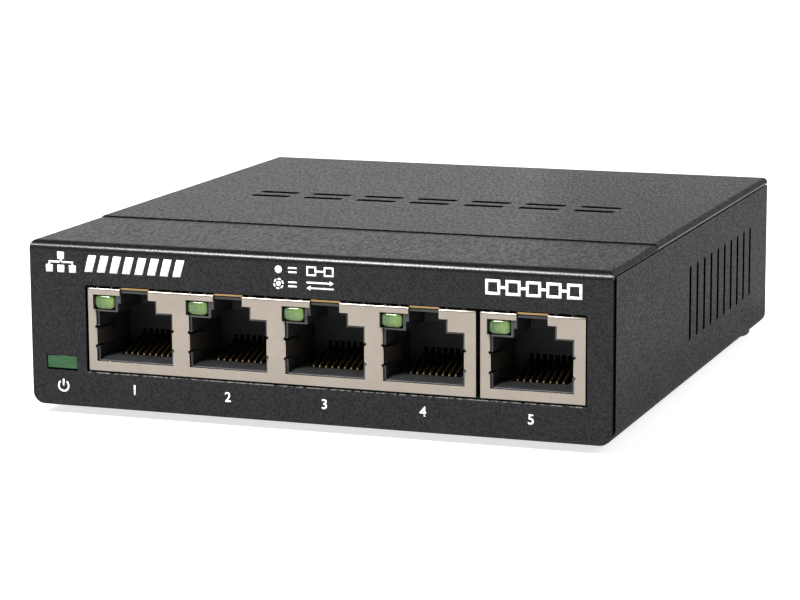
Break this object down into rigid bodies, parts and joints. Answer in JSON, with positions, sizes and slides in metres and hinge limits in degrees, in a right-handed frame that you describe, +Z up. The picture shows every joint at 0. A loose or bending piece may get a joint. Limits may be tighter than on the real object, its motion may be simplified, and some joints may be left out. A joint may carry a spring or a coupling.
{
  "type": "desktop network switch",
  "caption": "Small desktop network switch: folded black steel case with side vents, a row of shielded cable ports with lamps at the front and a power socket at the rear.",
  "frame": {"origin": "centre of the bounding box in plan, on the surface the feet stand on", "axes": "+Z up, -Y towards the side with the ports, +X to the right as seen from the ports"},
  "size_m": [0.094, 0.101, 0.0276],
  "materials": {
    "case_paint": "fine textured black powder coat",
    "screw_steel": "black zinc plated",
    "shield_nickel": "satin nickel plated sheet",
    "port_plastic": "moulded black",
    "contact_gold": "gold plated wire",
    "lamp_green": "clear green moulding",
    "guide_green": "translucent green moulding",
    "board_green": "solder mask over glass fibre",
    "chip_black": "moulded epoxy",
    "bare_aluminium": "satin",
    "pad_grey": "soft silicone pad",
    "foot_rubber": "moulded rubber",
    "label_film": "printed film, left blank",
    "spring_steel": "nickel plated spring strip"
  },
  "bodies": {
    "root": {"chassis_tray": "case_paint", "front_panel": "case_paint", "top_cover": "case_paint", "cover_screw_left": "screw_steel", "cover_screw_right": "screw_steel", "foot_front_left": "foot_rubber", "foot_front_right": "foot_rubber", "foot_rear_left": "foot_rubber", "foot_rear_right": "foot_rubber", "rating_label": "label_film", "circuit_board": "board_green", "board_screw_1": "screw_steel", "board_screw_2": "screw_steel", "board_screw_3": "screw_steel", "board_screw_4": "screw_steel", "switch_chip": "chip_black", "thermal_pad": "pad_grey", "heat_sink": "bare_aluminium", "port_transformer_1": "chip_black", "port_transformer_2": "chip_black", "port_transformer_3": "chip_black", "port_transformer_4": "chip_black", "port_transformer_5": "chip_black", "clock_crystal": "bare_aluminium", "memory_chip": "chip_black", "regulator_1": "chip_black", "regulator_2": "chip_black", "inductor_1": "chip_black", "inductor_2": "chip_black", "capacitor_1": "bare_aluminium", "capacitor_2": "bare_aluminium", "capacitor_3": "bare_aluminium", "port_shield_gang": "shield_nickel", "port_shield_single": "shield_nickel", "port_housing_gang": "port_plastic", "port_housing_single": "port_plastic", "port_lamp_1": "lamp_green", "port_lamp_2": "lamp_green", "port_lamp_3": "lamp_green", "port_lamp_4": "lamp_green", "port_lamp_5": "lamp_green", "power_light_guide": "guide_green", "power_lamp_chip": "lamp_green", "power_socket_body": "port_plastic", "power_socket_pin": "spring_steel"},
    "contacts_1": {"contact_springs_1": "contact_gold"},
    "contacts_2": {"contact_springs_2": "contact_gold"},
    "contacts_3": {"contact_springs_3": "contact_gold"},
    "contacts_4": {"contact_springs_4": "contact_gold"},
    "contacts_5": {"contact_springs_5": "contact_gold"},
    "socket_leaf": {"power_socket_leaf": "spring_steel"}
  },
  "joints": [
    {"name": "contacts_1_flex", "type": "hinge", "parent": "root", "child": "contacts_1", "pos_m": [-0.0295, -0.0455, 0.0092], "axis": [-1, 0, 0], "range_deg": [0, 9], "stiffness_Nm_per_rad": 0.25},
    {"name": "contacts_2_flex", "type": "hinge", "parent": "root", "child": "contacts_2", "pos_m": [-0.01383, -0.0455, 0.0092], "axis": [-1, 0, 0], "range_deg": [0, 9], "stiffness_Nm_per_rad": 0.25},
    {"name": "contacts_3_flex", "type": "hinge", "parent": "root", "child": "contacts_3", "pos_m": [0.00202, -0.0455, 0.0092], "axis": [-1, 0, 0], "range_deg": [0, 9], "stiffness_Nm_per_rad": 0.25},
    {"name": "contacts_4_flex", "type": "hinge", "parent": "root", "child": "contacts_4", "pos_m": [0.0178, -0.0455, 0.0092], "axis": [-1, 0, 0], "range_deg": [0, 9], "stiffness_Nm_per_rad": 0.25},
    {"name": "contacts_5_flex", "type": "hinge", "parent": "root", "child": "contacts_5", "pos_m": [0.03466, -0.0455, 0.0092], "axis": [-1, 0, 0], "range_deg": [0, 9], "stiffness_Nm_per_rad": 0.25},
    {"name": "socket_leaf_flex", "type": "hinge", "parent": "root", "child": "socket_leaf", "pos_m": [0.031, 0.0408, 0.0104], "axis": [-1, 0, 0], "range_deg": [0, 6], "stiffness_Nm_per_rad": 0.2}
  ]
}
